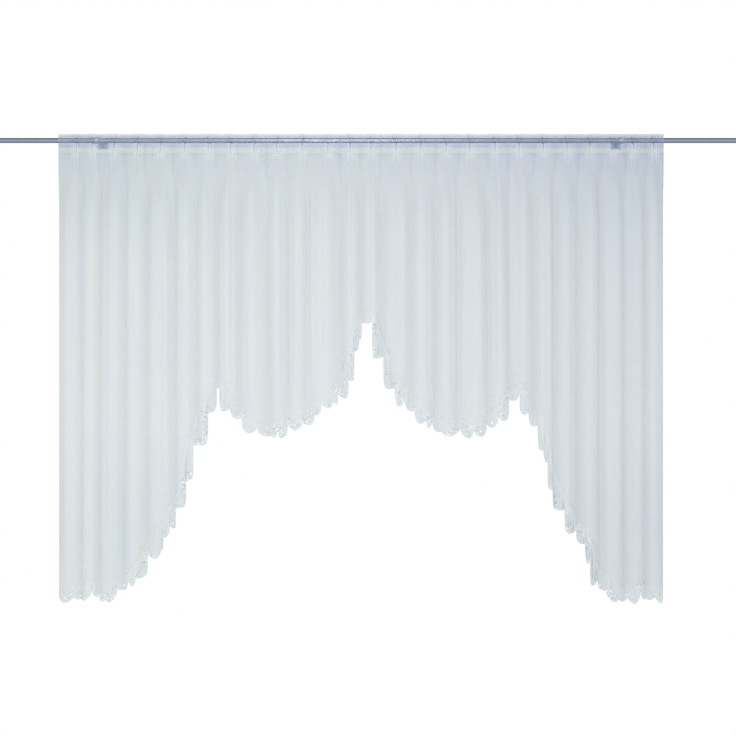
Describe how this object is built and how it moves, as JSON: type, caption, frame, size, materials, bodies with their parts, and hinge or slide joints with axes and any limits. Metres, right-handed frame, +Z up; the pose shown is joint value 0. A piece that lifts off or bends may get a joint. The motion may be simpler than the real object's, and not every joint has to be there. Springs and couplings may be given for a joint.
{
  "type": "sheer curtain with rod",
  "caption": "Gathered sheer curtain with two swags between long tails and a scalloped lace edge, hung by rings on a round steel rod with wall brackets.",
  "frame": {"origin": "on the wall, at the height of the rod's axis, in the middle of the curtain's width", "axes": "+X along the rod to the right as seen from the room, +Y into the wall, +Z up"},
  "size_m": [2.5406, 0.1278, 1.5479],
  "materials": {
    "voile": "white sheer polyester voile, matt, see-through",
    "tape": "white woven pleating tape, semi-transparent",
    "lace": "white lace with small open eyelets, matt",
    "rod_steel": "blue-grey steel tube, satin",
    "ring_wire": "dark steel wire",
    "bracket_steel": "dark blue-grey lacquered metal, satin"
  },
  "bodies": {
    "root": {"voile_panel": "voile", "heading_tape": "tape", "lace_edging": "lace", "rod": "rod_steel", "rod_cap_left": "bracket_steel", "rod_cap_right": "bracket_steel", "bracket_left": "bracket_steel", "bracket_right": "bracket_steel", "hook_ring_01": "ring_wire", "hook_ring_02": "ring_wire", "hook_ring_03": "ring_wire", "hook_ring_04": "ring_wire", "hook_ring_05": "ring_wire", "hook_ring_06": "ring_wire", "hook_ring_07": "ring_wire", "hook_ring_08": "ring_wire", "hook_ring_09": "ring_wire", "hook_ring_10": "ring_wire", "hook_ring_11": "ring_wire", "hook_ring_12": "ring_wire", "hook_ring_13": "ring_wire", "hook_ring_14": "ring_wire", "hook_ring_15": "ring_wire", "hook_ring_16": "ring_wire", "hook_ring_17": "ring_wire", "hook_ring_18": "ring_wire", "hook_ring_19": "ring_wire", "hook_ring_20": "ring_wire", "hook_ring_21": "ring_wire", "hook_ring_22": "ring_wire", "hook_ring_23": "ring_wire", "hook_ring_24": "ring_wire", "hook_ring_25": "ring_wire", "hook_ring_26": "ring_wire"}
  },
  "joints": []
}
